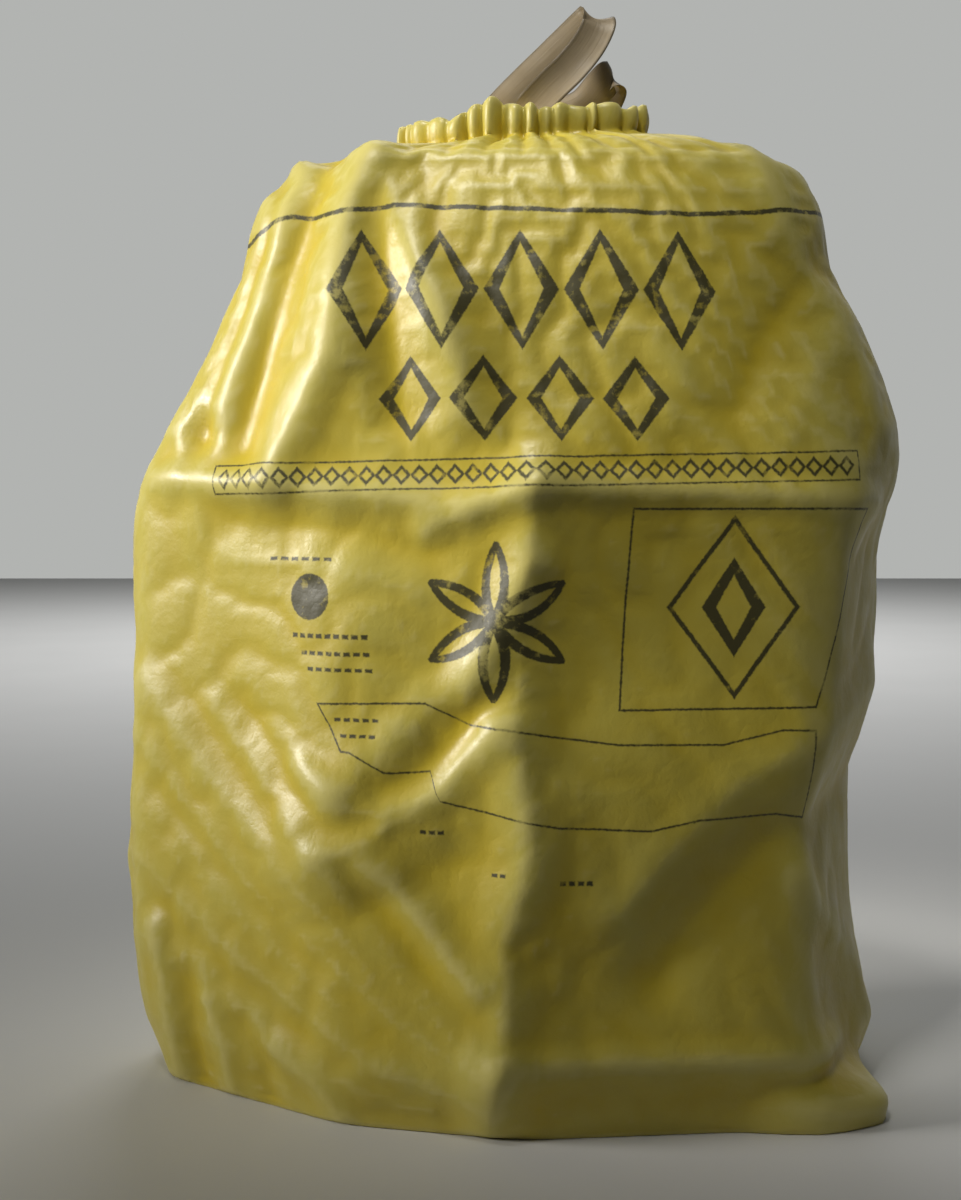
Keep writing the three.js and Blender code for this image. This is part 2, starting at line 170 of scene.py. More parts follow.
FIRST_LIP = FIRST_HEM + HEM_ROWS
ROWS = len(surface)
print(ROWS, "rows of", COLUMNS, "columns")


# %% [markdown]
# ## Smoothing and normals on a grid
# The solid is faceted, and a lens would see its edges through the film. Averaging each point with its
# neighbours a few times takes the facets away. A grid's normal is the cross product of its two directions.

# %% Smooth the surface
def averaged(grid, rounds, first, last):
    """The grid with rows first to last averaged with their neighbours."""
    for _ in range(rounds):
        across = np.roll(grid, 1, axis=1) + np.roll(grid, -1, axis=1)
        middle = grid[first:last] * 0.4 + across[first:last] * 0.15
        grid = grid.copy()
        grid[first:last] = middle + (grid[first - 1:last - 1] + grid[first + 1:last + 1]) * 0.15
    return grid


def normals_of(grid):
    """The outward unit normals of a grid whose columns run anticlockwise seen from above."""
    along = np.roll(grid, -1, axis=1) - np.roll(grid, 1, axis=1)
    up = np.gradient(grid, axis=0)
    normal = np.cross(along, up)
    return normal / np.maximum(np.linalg.norm(normal, axis=2, keepdims=True), 1e-12)


surface = averaged(surface, 10, FIRST_WALL + 1, FIRST_HEM)
normals = normals_of(surface)
normals[FIRST_HEM:] = normals[FIRST_HEM] * [1, 1, 0]
normals[FIRST_HEM:] /= np.linalg.norm(normals[FIRST_HEM:], axis=2, keepdims=True)

# %% [markdown]
# ## Film coordinates
# Print lies on the flat film, so it needs the film's own coordinates: how far round the girth from the front
# ridge, and how far up from the floor, both in metres. They become the UV map, and every printed line then
# rides over the folds by itself. The folds are placed by where they show from the front, in millimetres, and
# at the sides and behind by the direction from the axis in degrees.

# %% Coordinates on the film
def run_along(grid, axis):
    """How far each point is along its row or column."""
    step = np.linalg.norm(np.diff(grid, axis=axis, append=grid[:, :1] if axis else grid[-1:]), axis=2)
    return np.cumsum(step, axis=axis) - step


round_run = run_along(surface, 1)
full_girth = round_run[:, -1:] + np.linalg.norm(surface[:, -1] - surface[:, 0], axis=1)[:, None]
film_u = np.where(np.arange(COLUMNS) < COLUMNS // 2, round_run, round_run - full_girth)
up_run = run_along(surface, 0)
film_v = np.broadcast_to(surface[:, :, 2], up_run.shape).copy()
film_v[FIRST_TOP:] = film_v[FIRST_TOP - 1] + up_run[FIRST_TOP:] - up_run[FIRST_TOP - 1]
film_v[:FIRST_WALL] = up_run[:FIRST_WALL] - up_run[FIRST_WALL]
share_round = 2 * math.pi * np.arange(COLUMNS)[None, :] / COLUMNS
front_x, front_z = surface[:, :, 0] / MM, surface[:, :, 2] / MM
turn = np.degrees(np.arctan2(surface[:, :, 1] - AXIS[1], surface[:, :, 0] - AXIS[0]))
turn = (turn + 60) % 360 - 60
facing_front = np.clip(-4 * normals[:, :, 1], 0, 1)
print("film runs", round(float(film_v[FIRST_LIP].mean()), 3), "m from the floor to the rim")

# %% [markdown]
# ## Creases placed one by one
# The solid already has the main folds, broad and soft. Along their crests, and between them, the film is
# creased: each crease is a line with a height and a width, a ridge above zero and a valley below. The flanks
# are nearly straight, because creased film is made of flat facets. The crest is rounded over about one step
# of the grid, since a sharper one would show as a row of beads where it runs slantwise over the points. The
# strongest hang like a tent from the top left, mark the edges of the box in the load, and fan out where the
# film is pulled tight to the foot of the front ridge. Those at the sides and behind are made up.

# %% The front's creases, as x and z in millimetres, height and half width in millimetres
FRONT_CREASES = [
    ([(-100, 684), (-114, 643), (-122, 594), (-130, 539), (-148, 505), (-174, 457)], 4, 15),
    ([(-97, 684), (-79, 621), (-51, 571), (-41, 537), (-36, 500)], 3, 14),
    ([(-92, 665), (-90, 600), (-85, 540), (-80, 500)], -3, 13),
    ([(-136, 680), (-157, 611), (-177, 548), (-193, 478)], -4, 12),
    ([(-153, 684), (-169, 620), (-190, 556), (-213, 507)], 7, 13),
    ([(-165, 664), (-182, 614), (-203, 550), (-228, 486)], -7, 11),
    ([(-178, 650), (-192, 605), (-216, 543), (-243, 490)], 3, 10),
    ([(-260, 456), (-185, 451), (-78, 441), (-31, 436), (15, 449), (124, 445), (252, 438)], 3, 9),
    ([(-60, 419), (-27, 433), (15, 448)], 3, 10),
    ([(-200, 425), (-120, 418), (-60, 404)], -4, 16),
    ([(14, 452), (8, 396), (0, 302), (4, 256), (8, 209), (0, 168), (-6, 127), (-10, 59), (-17, 5)], 4, 17),
    ([(-10, 56), (57, 58), (139, 58), (225, 52)], 2.5, 8),
    ([(-21, 332), (-58, 301), (-99, 259), (-155, 206)], 1.5, 12),
    ([(-15, 285), (-48, 240), (-95, 208), (-140, 190)], 8, 28),
    ([(-149, 252), (-120, 231), (-92, 224), (-51, 239), (-11, 279)], 3, 10),
    ([(-127, 199), (-85, 178), (-58, 148), (-31, 109)], 3, 12),
    ([(-100, 160), (-70, 180), (-40, 195), (-10, 190)], -1, 14),
    ([(9, 396), (-11, 356), (-31, 315)], 6, 14),
    ([(-275, 306), (-180, 196), (-80, 99), (-12, 56)], 1.4, 12),
    ([(-278, 262), (-190, 168), (-80, 80), (-14, 45)], 2, 9),
    ([(-240, 190), (-160, 118), (-90, 66), (-15, 37)], 1.2, 10),
    ([(-278, 172), (-200, 112), (-95, 48), (-17, 28)], 2, 9),
    ([(-272, 112), (-210, 80), (-130, 38), (-60, 22)], 1.8, 12),
    ([(-215, 290), (-150, 206), (-70, 115), (-12, 62)], 1.8, 10),
    ([(-195, 294), (-120, 195), (-55, 110), (-12, 66)], -2, 10),
    ([(-266, 122), (-258, 60), (-250, 8)], 4, 8),
    ([(-240, 88), (-236, 46), (-230, 5)], -3, 8),
    ([(-222, 72), (-210, 40), (-206, 5)], 3, 7),
    ([(-196, 60), (-180, 34), (-176, 5)], -2.4, 8),
    ([(-168, 50), (-140, 30), (-120, 5)], 2.4, 8),
    ([(268, 300), (210, 275), (152, 245), (110, 205), (70, 160)], 2, 14),
    ([(255, 235), (173, 205), (125, 155), (95, 115)], -2, 14),
    ([(195, 175), (225, 135), (256, 90), (268, 50)], 3, 10),
    ([(167, 700), (195, 626), (238, 549), (262, 490)], 2, 12),
    ([(215, 600), (180, 560), (150, 500)], -4, 26),
    ([(0, 134), (8, 124)], -2.5, 14),
]

# %% The creases at the sides and behind, as degrees and z in millimetres
SIDE_CREASES = [
    ([(75, 680), (70, 578), (60, 476)], 3, 12), ([(110, 680), (118, 558), (132, 449)], 3, 12),
    ([(92, 666), (90, 544), (95, 462)], -3, 12), ([(45, 449), (90, 428), (135, 442)], 3, 9),
    ([(100, 422), (96, 272), (100, 136), (97, 14)], 3, 14), ([(50, 354), (70, 272), (94, 204)], 4, 12),
    ([(52, 313), (72, 224), (92, 177)], -4, 12), ([(140, 340), (122, 245), (104, 136)], 3, 12),
    ([(145, 286), (125, 184), (106, 82)], 3, 9), ([(60, 61), (95, 54), (135, 61)], 3, 8),
    ([(22, 646), (16, 544), (14, 449)], 3, 11), ([(2, 640), (-2, 540), (-4, 462)], -4, 12),
    ([(10, 408), (-7, 286), (6, 136), (4, 54)], 3, 12), ([(30, 340), (20, 245), (12, 177)], 4, 12),
    ([(163, 653), (166, 544), (163, 456)], 3, 12), ([(178, 640), (182, 540), (186, 460)], -4, 12),
    ([(174, 408), (187, 286), (175, 150), (177, 41)], 3, 12), ([(156, 326), (166, 231), (172, 163)], 4, 12),
    ([(64, 400), (80, 330), (90, 250)], 3, 9), ([(120, 420), (112, 350), (104, 280)], -3, 10),
    ([(84, 630), (80, 560), (76, 500)], 4, 10), ([(103, 640), (106, 560), (112, 490)], -3, 10),
]
MM_PER_DEGREE = 3.9
CREST_ROUND = 3.5
FLANK_REACH = 1.6
FLANK_CURVE = 1.4


def distance_to(line, x, z):
    """How far each point is from a line of points, all in millimetres."""
    nearest = np.full(x.shape, np.inf)
    for (ax, az), (bx, bz) in zip(line[:-1], line[1:]):
        length = (bx - ax) ** 2 + (bz - az) ** 2
        share = np.clip(((x - ax) * (bx - ax) + (z - az) * (bz - az)) / length, 0, 1)
        nearest = np.minimum(nearest, np.hypot(x - ax - share * (bx - ax), z - az - share * (bz - az)))
    return nearest


def crease_relief(creases, across, up):
    """The height of all the creases at points given across and up, in metres."""
    relief = np.zeros(across.shape)
    for line, height, width in creases:
        away = np.hypot(distance_to(line, across, up), CREST_ROUND) - CREST_ROUND
        flank = np.clip(1 - away / (FLANK_REACH * width), 0, 1)
        relief += height * MM * flank ** FLANK_CURVE
    return relief


SIDE_LINES = [([(a * MM_PER_DEGREE, z) for a, z in line], h, w) for line, h, w in SIDE_CREASES]
in_front = crease_relief(FRONT_CREASES, front_x, front_z) * facing_front
folds = in_front + crease_relief(SIDE_LINES, turn * MM_PER_DEGREE, front_z) * (1 - facing_front)
print("creases stand", round(folds.max() / MM, 1), "mm out and", round(-folds.min() / MM, 1), "mm in")

# %% [markdown]
# ## Pleats and small crumples
# Two more layers lie over the creases. The gathers make pleats that fan out from the hem and die away at the
# shoulder; no two have the same width or depth. Everywhere else the film has small random crumples. Each
# layer is a sum of waves that fit a whole number of times round the girth, so it has no seam.

# %% Random layers
def waves(smallest, largest, count, seed):
    """A random height field with features between two sizes in metres, about -1 to 1."""
    pick = np.random.default_rng(seed)
    total = np.zeros(surface.shape[:2])
    for _ in range(count):
        size = smallest * (largest / smallest) ** pick.random()
        slant = pick.random() * 2 * math.pi
        times = max(1, round(girth * abs(math.cos(slant)) / size))
        rise = up_run * 2 * math.pi * math.sin(slant) / size
        total += np.cos(times * share_round + rise + pick.random() * 6.3)
    return total / math.sqrt(count / 2)


def creased(field):
    """The field with its zero lines turned into sharp valleys."""
    return np.abs(field) - 0.8


row = np.arange(ROWS)[:, None]
toward_rim = np.clip((row - FIRST_TOP + 4) / (FIRST_HEM - FIRST_TOP + 4), 0, 1)
toward_foot = np.clip((row - FIRST_WALL) / 14, 0, 1)
inside_mouth = np.clip((row - FIRST_LIP) / 7, 0, 1)
PLEATS = 36
PLEAT_HEIGHT = 2.5 * MM
PLEAT_BUNCH = 1 * MM
CRUMPLE_HEIGHT = 0.45 * MM

pleat_turn = PLEATS * share_round + 0.9 * waves(0.12, 0.3, 7, 3)[FIRST_TOP]
pleats = 1.7 * np.abs(np.sin(pleat_turn / 2)) ** 0.9 - 0.95 + 0.4 * np.sin(0.5 * pleat_turn + 1)
pleat_size = np.clip(1 + 0.45 * waves(0.2, 0.6, 6, 19)[FIRST_TOP], 0.35, 1.7)
pleat_height = PLEAT_HEIGHT * pleat_size * toward_rim ** 1.3 * (1 - 0.75 * inside_mouth)
crumple = creased(waves(0.05, 0.12, 12, 11)) * CRUMPLE_HEIGHT * toward_foot
bunching = np.clip((row - FIRST_HEM) / HEM_ROWS, 0, 1) * (1 - inside_mouth) * toward_rim
surface[:, :, 2] += pleats * pleat_size * PLEAT_BUNCH * bunching
layers = pleats * pleat_height + crumple * (1 - 0.6 * toward_rim)
print("pleats", PLEATS, "crumples to", round(float(crumple.max()) / MM, 1), "mm")

# %% [markdown]
# ## Relaxing the film
# So far the folds are drawn, and film doesn't bend like a drawing: it keeps its lengths. Position based
# dynamics comes near that with little code. Each edge of the grid, each diagonal and each pair of points two
# apart remembers its length, with a little film to spare, and every step moves the points so that the lengths
# come closer. The spare film buckles into small creases of its own. A point may move only a few millimetres
# in or out, since the load holds it from behind, so the drawn folds stay what is mainly seen. It runs on
# every second row and column first, where it moves far in few steps, and then on all of them.

# %% Length constraints on a grid
def edge_sets(rows, columns):
    """Index pairs of all edges, in groups where no point is used twice, with their stiffness."""
    index = np.arange(rows * columns).reshape(rows, columns)
    groups = []
    kinds = ((0, 1, 1), (1, 0, 1), (1, 1, 0.6), (1, -1, 0.6), (0, 2, 0.08), (2, 0, 0.08))
    for rise, shift, stiffness in kinds:
        start = index[:rows - rise]
        end = np.roll(index, -shift, axis=1)[rise:]
        for parity in range(2):
            if rise:
                keep = (np.arange(rows - rise) // rise) % 2 == parity
                pair = start[keep], end[keep]
            else:
                keep = (np.arange(columns) // shift) % 2 == parity
                pair = start[:, keep], end[:, keep]
            groups.append((pair[0].ravel(), pair[1].ravel(), stiffness))
    return groups


def relax(grid, rest, base_grid, out, spare, low, high, steps):
    """Moves the grid's points so its lengths near those of rest, with spare film, between low and high."""
    rows, columns = grid.shape[:2]
    points, anchor, normal = (array.reshape(-1, 3).copy() for array in (grid, base_grid, out))
    model, extra = rest.reshape(-1, 3), spare.reshape(-1)
    low, high = low.reshape(-1), high.reshape(-1)
    groups = []
    for a, b, stiffness in edge_sets(rows, columns):
        length = np.linalg.norm(model[a] - model[b], axis=1) * (1 + 0.5 * (extra[a] + extra[b]))
        groups.append((a, b, stiffness, length))
    for _ in range(steps):
        points[:, 2] -= 0.01 * MM
        for a, b, stiffness, length in groups:
            gap = points[b] - points[a]
            now = np.sqrt(np.einsum("ij,ij->i", gap, gap)) + 1e-9
            move = gap * (0.5 * stiffness * (now - length) / now)[:, None]
            points[a] += move
            points[b] -= move
        offset = points - anchor
        out_by = np.einsum("ij,ij->i", offset, normal)
        sideways = (offset - out_by[:, None] * normal) * 0.985
        points = anchor + sideways + np.clip(out_by, low, high)[:, None] * normal
    return points.reshape(grid.shape)


# %% Relax on every second point, then on all
def upsample(field):
    """A coarse field of movements on every row and column, smooth through the coarse points."""
    rows, columns = field.shape[:2]
    wide = np.empty((rows, 2 * columns, 3))
    wide[:, 0::2] = field
    near = field + np.roll(field, -1, axis=1)
    far = np.roll(field, 1, axis=1) + np.roll(field, -2, axis=1)
    wide[:, 1::2] = near * 0.5625 - far * 0.0625
    tall = np.empty((2 * rows - 1, 2 * columns, 3))
    tall[0::2] = wide
    tall[1::2] = (wide[:-1] + wide[1:]) * 0.5
    return tall


FINE_HEIGHT = 0.12 * MM
FINE_SPARE = 0.001
SINK = 6 * MM
SWELL = 7 * MM
FINE_ROOM = 2 * MM

held = (row >= FIRST_WALL + 1) & (row < FIRST_LIP + 2)
lift = ((folds + layers) * held)[:, :, None]
drawn = surface + normals * lift
spare_coarse = 0.003 + 0.005 * np.clip((front_z - 420) / 250, 0, 1)
right_face = facing_front * np.clip((front_x - 20) / 60, 0, 1) * np.clip((430 - front_z) / 60, 0, 1)
spare_coarse = spare_coarse * (1 - 0.7 * right_face) * held
lowest = np.where(held, lift[:, :, 0] - SINK, 0)
highest = np.where(held, lift[:, :, 0] + SWELL, 0)

STEPS_COARSE, STEPS_FINE = ((260, 90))
half = (slice(0, None, 2), slice(0, None, 2))
coarse = relax(drawn[half], drawn[half], surface[half], normals[half], spare_coarse[half],
               lowest[half], highest[half], STEPS_COARSE)
moved = upsample(coarse - drawn[half])[:ROWS]
fine_noise = creased(waves(0.012, 0.03, 16, 23)) * FINE_HEIGHT * toward_foot * (1 - 0.6 * right_face) * held
film = drawn + moved + normals * fine_noise[:, :, None]
film = relax(film, film, surface, normals, FINE_SPARE * held * np.ones(COLUMNS),
             lowest - FINE_ROOM, highest + FINE_ROOM, STEPS_FINE)
print("the film moved", round(float(np.linalg.norm(film - drawn, axis=2).max()) / MM, 1), "mm at most")

# %% [markdown]
# ## From grid to mesh
# The grid becomes quads, closed at the seam by wrapping round and at the two poles by fans of triangles. The
# UV map takes the film coordinates. At the seam behind, a corner's coordinate runs on, with no jump back.

# %% Build the film's mesh
def closed_mesh(name, grid, bottom, crown, corner_uv):
    """A closed mesh of a grid that wraps round, with a point at each pole, and its UV map."""
    rows, columns = grid.shape[:2]
    points = np.vstack([grid.reshape(-1, 3), bottom, crown])
    i, j = np.mgrid[0:rows - 1, 0:columns]
    k = (j + 1) % columns
    here, above = i * columns, (i + 1) * columns
    faces = np.stack([here + j, here + k, above + k, above + j], axis=2).reshape(-1, 4).tolist()
    j = np.arange(columns)
    k = (j + 1) % columns
    last = (rows - 1) * columns
    low_pole, high_pole = rows * columns, rows * columns + 1
    faces += [(low_pole, b, a) for a, b in zip(j.tolist(), k.tolist())]
    faces += [(high_pole, last + a, last + b) for a, b in zip(j.tolist(), k.tolist())]
    mesh = bpy.data.meshes.new(name)
    mesh.from_pydata(points.tolist(), [], faces)
    uv = mesh.uv_layers.new(name="film").data
    uv.foreach_set("uv", corner_uv.ravel())
    mesh.polygons.foreach_set("use_smooth", np.ones(len(faces), dtype=bool))
    return mesh


def film_corners():
    """The film coordinates of each face corner, in the order of closed_mesh's faces."""
    i, j = np.mgrid[0:ROWS - 1, 0:COLUMNS]
    right = film_u[:, (np.arange(COLUMNS) + 1) % COLUMNS].copy()
    right[:, COLUMNS // 2 - 1] += full_girth[:, 0]
    right_v = np.roll(film_v, -1, axis=1)
    corners = [(film_u[:-1], film_v[:-1]), (right[:-1], right_v[:-1]), (right[1:], right_v[1:]),
               (film_u[1:], film_v[1:])]
    quads = np.stack([np.stack(corner, axis=2) for corner in corners], axis=2)
    poles = np.zeros((2 * COLUMNS * 3, 2))
    return np.vstack([quads.reshape(-1, 2), poles])


bottom_pole = np.array([*AXIS, 0])
crown_pole = np.array([*COLLAR, MOUTH_FLOOR])
film[:, :, 2] = np.maximum(film[:, :, 2], 0)
sack = link("full_sack", closed_mesh("full_sack", film, bottom_pole, crown_pole, film_corners()))
print(len(sack.data.polygons), "faces in the sack")

# %% [markdown]
# ## The draw tape
# The tape is one flat strip of soft plastic that climbs out of the gathers, doubles back in front of itself
# and drops behind. A strip that follows a path is a rule, so Geometry Nodes make it: a flat grid is laid
# along a smooth curve, and each of its points steps sideways by the strip's width. Each station of the path
# also carries the direction of the width, as an attribute, so the tape can twist. It bends to a shallow
# trough, as tape does when it is pulled, and its edges ripple a little. A station is its place across, back
# and up, in shares of the loop's height, and the lean of the tape's width in degrees.

# %% The tape's path
TAPE_LOOP = 80 * MM
SEATED = -17 / 80
DIMPLE = 13 * MM
TAPE_RUN = [
    (-0.69, 0.1, SEATED, 49), (-0.55, 0.1, -0.05, 49), (-0.16, 0.07, 0.35, 49), (0.26, 0.04, 0.72, 47),
    (0.55, 0.01, 0.97, 34), (0.63, -0.03, 1.01, 12), (0.68, -0.09, 1, 10), (0.68, -0.14, 0.92, 20),
    (0.59, -0.16, 0.75, 35), (0.43, -0.19, 0.56, 38), (0.26, -0.19, 0.41, 44), (0.11, -0.15, 0.27, 50),
    (0.04, -0.07, 0.19, 56), (0.1, 0, 0.17, 62), (0.26, 0.04, 0.19, 68), (0.53, 0.05, 0.25, 74),
    (0.72, 0.04, 0.43, 72), (0.83, 0.1, 0.52, 74), (0.84, 0.16, 0.42, 74), (0.72, 0.19, 0.2, 70),
    (0.58, 0.16, -0.04, 64), (0.5, 0.14, SEATED, 60),
]


def tape_path():
    """The path's stations as a line of edges, with the direction of the tape's width on each."""
    places, across = [], []
    for x, y, z, lean in TAPE_RUN:
        east = COLLAR[0] + x * TAPE_LOOP
        floor_here = RIM_HEIGHT + RIM_SLOPE * (east - COLLAR[0]) - DIMPLE
        places.append((east, COLLAR[1] + y * TAPE_LOOP, floor_here + z * TAPE_LOOP))
        across.append((math.cos(math.radians(lean)), 0, -math.sin(math.radians(lean))))
    mesh = bpy.data.meshes.new("tape_path")
    mesh.from_pydata(places, [(k, k + 1) for k in range(len(places) - 1)], [])
    width_way = mesh.attributes.new("across", "FLOAT_VECTOR", "POINT")
    width_way.data.foreach_set("vector", np.array(across).ravel())
    return link("tape_loop", mesh)


# %% A short way to write node trees
class Tree:
    """Adds nodes to a tree and links their inputs by name."""

    def __init__(self, tree):
        self.tree = tree

    def add(self, kind, output=0, settings=None, **inputs):
        """A new node, with its settings and inputs; gives back one of its outputs."""
        node = self.tree.nodes.new(kind)
        for name, value in (settings or {}).items():
            setattr(node, name, value)
        for name, value in inputs.items():
            numbered = name.startswith("in") and name[2:].isdigit()
            self.feed(node.inputs[int(name[2:]) if numbered else name.replace("_", " ")], value)
        return node.outputs[output]

    def feed(self, socket, value):
        """Links a socket to an output, or sets its own value."""
        if isinstance(value, bpy.types.NodeSocket):
            self.tree.links.new(value, socket)
        else:
            socket.default_value = value

    def math(self, operation, a, b=0.0):
        """A math node's value."""
        return self.add("ShaderNodeMath", settings={"operation": operation}, in0=a, in1=b)

    def vector(self, operation, a, b=(0, 0, 0)):
        """A vector math node's vector."""
        return self.add("ShaderNodeVectorMath", settings={"operation": operation}, in0=a, in1=b)

    def scaled(self, a, factor):
        """A vector times a number."""
        return self.add("ShaderNodeVectorMath", settings={"operation": "SCALE"}, in0=a, Scale=factor)


# %% The tape's node tree
CURVE_POINTS = 400
POINTS_ALONG = 321
POINTS_ACROSS = 13
RIPPLES_PER_METRE = 55.0


def tape_tree():
    """Lays a strip along the path: width, trough, ripple and thickness are its named inputs."""
    group = bpy.data.node_groups.new("tape along a path", "GeometryNodeTree")
    group.interface.new_socket("Path", in_out="INPUT", socket_type="NodeSocketGeometry")
    for name in ("Width", "Trough", "Ripple", "Thickness"):
        group.interface.new_socket(name, in_out="INPUT", socket_type="NodeSocketFloat")
    group.interface.new_socket("Finish", in_out="INPUT", socket_type="NodeSocketMaterial")
    group.interface.new_socket("Tape", in_out="OUTPUT", socket_type="NodeSocketGeometry")
    tree = Tree(group)
    given = group.nodes.new("NodeGroupInput").outputs
    curve = tree.add("GeometryNodeMeshToCurve", Mesh=given["Path"])
    curve = tree.add("GeometryNodeCurveSplineType", settings={"spline_type": "CATMULL_ROM"}, Curve=curve)
    curve = tree.add("GeometryNodeResampleCurve", Curve=curve, Count=CURVE_POINTS)
    strip = tree.add("GeometryNodeMeshGrid", Size_X=1.0, Size_Y=1.0,
                     Vertices_X=POINTS_ALONG, Vertices_Y=POINTS_ACROSS)
    corner_pair = {"data_type": "FLOAT2", "domain": "CORNER"}
    strip = tree.add("GeometryNodeStoreNamedAttribute", settings=corner_pair,
                     Geometry=strip, Name="strip", Value=strip.node.outputs["UV Map"])
    here = tree.add("ShaderNodeSeparateXYZ", Vector=tree.add("GeometryNodeInputPosition"))
    along = tree.math("ADD", here, 0.5)
    side = here.node.outputs["Y"]
    across = tree.add("GeometryNodeInputNamedAttribute", 0, {"data_type": "FLOAT_VECTOR"}, Name="across")
    whole_curve = {"data_type": "FLOAT_VECTOR", "use_all_curves": True}
    sample = tree.add("GeometryNodeSampleCurve", 0, whole_curve, Curves=curve, Value=across, Factor=along)
    sample = sample.node.outputs
    place, tangent = sample["Position"], sample["Tangent"]
    lengthwise = tree.add("ShaderNodeVectorMath", "Value", {"operation": "DOT_PRODUCT"},
                          in0=tangent, in1=sample["Value"])
    turn = tree.scaled(tangent, lengthwise)
    width_way = tree.vector("NORMALIZE", tree.vector("SUBTRACT", sample["Value"], turn))
    face = tree.vector("CROSS_PRODUCT", tangent, width_way)
    edge_depth = tree.math("MULTIPLY", given["Trough"], 4.0)
    depth = tree.math("MULTIPLY", tree.math("MULTIPLY", side, side), edge_depth)
    noise = tree.add("ShaderNodeTexNoise", Vector=tree.scaled(place, RIPPLES_PER_METRE),
                     Scale=1.0, Detail=1.0)
    wave = tree.math("MULTIPLY", tree.math("SUBTRACT", noise, 0.5), given["Ripple"])
    step = tree.vector("ADD", tree.scaled(width_way, tree.math("MULTIPLY", side, given["Width"])),
                       tree.scaled(face, tree.math("ADD", depth, wave)))
    strip = tree.add("GeometryNodeSetPosition", Geometry=strip, Position=tree.vector("ADD", place, step))
    wall = tree.add("GeometryNodeExtrudeMesh", Mesh=strip, Offset_Scale=given["Thickness"], Individual=False)
    back = tree.add("GeometryNodeFlipFaces", Mesh=strip)
    both = tree.add("GeometryNodeJoinGeometry")
    group.links.new(wall, both.node.inputs[0])
    group.links.new(back, both.node.inputs[0])
    both = tree.add("GeometryNodeMergeByDistance", Geometry=both, Distance=1e-6)
    both = tree.add("GeometryNodeSetShadeSmooth", Geometry=both)
    both = tree.add("GeometryNodeRealizeInstances", Geometry=both)
    both = tree.add("GeometryNodeSetMaterial", Geometry=both, Material=given["Finish"])
    group.links.new(both, group.nodes.new("NodeGroupOutput").inputs[0])
    return group


def baked(name, source, group, **values):
    """The plain mesh that a node tree makes from an object, as a new object; the source goes."""
    modifier = source.modifiers.new("nodes", "NODES")
    modifier.node_group = group
    for item in group.interface.items_tree:
        if item.in_out == "INPUT" and item.name in values:
            modifier[item.identifier] = values[item.name]
    depsgraph = bpy.context.evaluated_depsgraph_get()
    mesh = bpy.data.meshes.new_from_object(source.evaluated_get(depsgraph), depsgraph=depsgraph)
    source.modifiers.remove(modifier)
    bpy.data.objects.remove(source)
    mesh.name = name
    return link(name, mesh)


# %% [markdown]
# ## Sums on a surface
# The printing is drawn by the material itself: for each spot of the film it works out how far away the
# nearest printed line is. Such sums need many math nodes, so a small class writes them from plain arithmetic.

# %% Fields, numbers that vary over a surface
class Field:
    """A number that varies over a surface: arithmetic with it adds math nodes to its tree."""

    def __init__(self, tree, socket):
        self.tree = tree
        self.socket = socket

    def math(self, operation, *others):
        """A math node with this field as its first input."""
        node = self.tree.tree.nodes.new("ShaderNodeMath")
        node.operation = operation
        for socket, value in zip(node.inputs, (self, *others)):
            self.tree.feed(socket, value.socket if isinstance(value, Field) else value)
        return Field(self.tree, node.outputs[0])

    def __add__(self, other):
        return self.math("ADD", other)

    def __sub__(self, other):
        return self.math("SUBTRACT", other)

    def __mul__(self, other):
        return self.math("MULTIPLY", other)

    def __truediv__(self, other):
        return self.math("DIVIDE", other)

    def __abs__(self):
        return self.math("ABSOLUTE")

    def least(self, *others):
        """The smaller of this and the others: a shape that is any of theirs."""
        result = self
        for other in others:
            result = result.math("MINIMUM", other)
        return result

    def most(self, *others):
        """The larger of this and the others: a shape that is in all of theirs."""
        result = self
        for other in others:
            result = result.math("MAXIMUM", other)
        return result

    def between(self, low, high):
        """Rises from 0 at low to 1 at high."""
        ramp = self.tree.add("ShaderNodeMapRange", Value=self.socket, From_Min=low, From_Max=high)
        return Field(self.tree, ramp)


def noise(tree, vector, size, detail=2.0, rough=0.5):
    """A noise between 0 and 1 whose features have a size in metres."""
    return Field(tree, tree.add("ShaderNodeTexNoise", Vector=vector, Scale=1 / size, Detail=detail,
                                Roughness=rough))


# %% [markdown]
# ## Shapes for the printing
# A shape is the distance to its edge in millimetres, below zero inside. An outline is the distance to the
# edge less half the pen's width. The front carries a plain generic design in dark olive ink: a fill line,
# lozenges, a rosette, frames, a write-in box and short dashes.

# %% Print shapes
def outline(shape, pen):
    """The edge of a shape, drawn with a pen of a width."""
    return abs(shape) - pen / 2


def box(u, v, middle, half):
    """A box about its middle."""
    return (abs(u - middle[0]) - half[0]).most(abs(v - middle[1]) - half[1])


def lozenge(u, v, middle, half):
    """A lozenge about its middle."""
    scale = half[0] * half[1] / math.hypot(*half)
    return (abs(u - middle[0]) / half[0] + abs(v - middle[1]) / half[1] - 1) * scale


def disc(u, v, middle, radius):
    """A disc about its middle."""
    across, up = u - middle[0], v - middle[1]
    return (across * across + up * up).math("SQRT") - radius


def repeated(u, first, step, count):
    """The distance along a row from the nearest of some evenly spaced middles."""
    place = ((u - first) / step).math("ROUND").most(0.0).least(count - 1.0)
    return u - first - place * step


def rosette(u, v, middle, radius):
    """The six petals that a pair of compasses draws: the angle is folded into one twelfth of a turn."""
    across, up = u - middle[0], v - middle[1]
    far = (across * across + up * up).math("SQRT")
    sixth = math.pi / 3
    folded = abs(across.math("ARCTAN2", up).math("WRAP", sixth / 2, -sixth / 2))
    x, y = folded.math("COSINE") * far, folded.math("SINE") * far
    arc = disc(x, y, (radius * math.cos(sixth), -radius * math.sin(sixth)), radius)
    return abs(arc).most(far - radius)


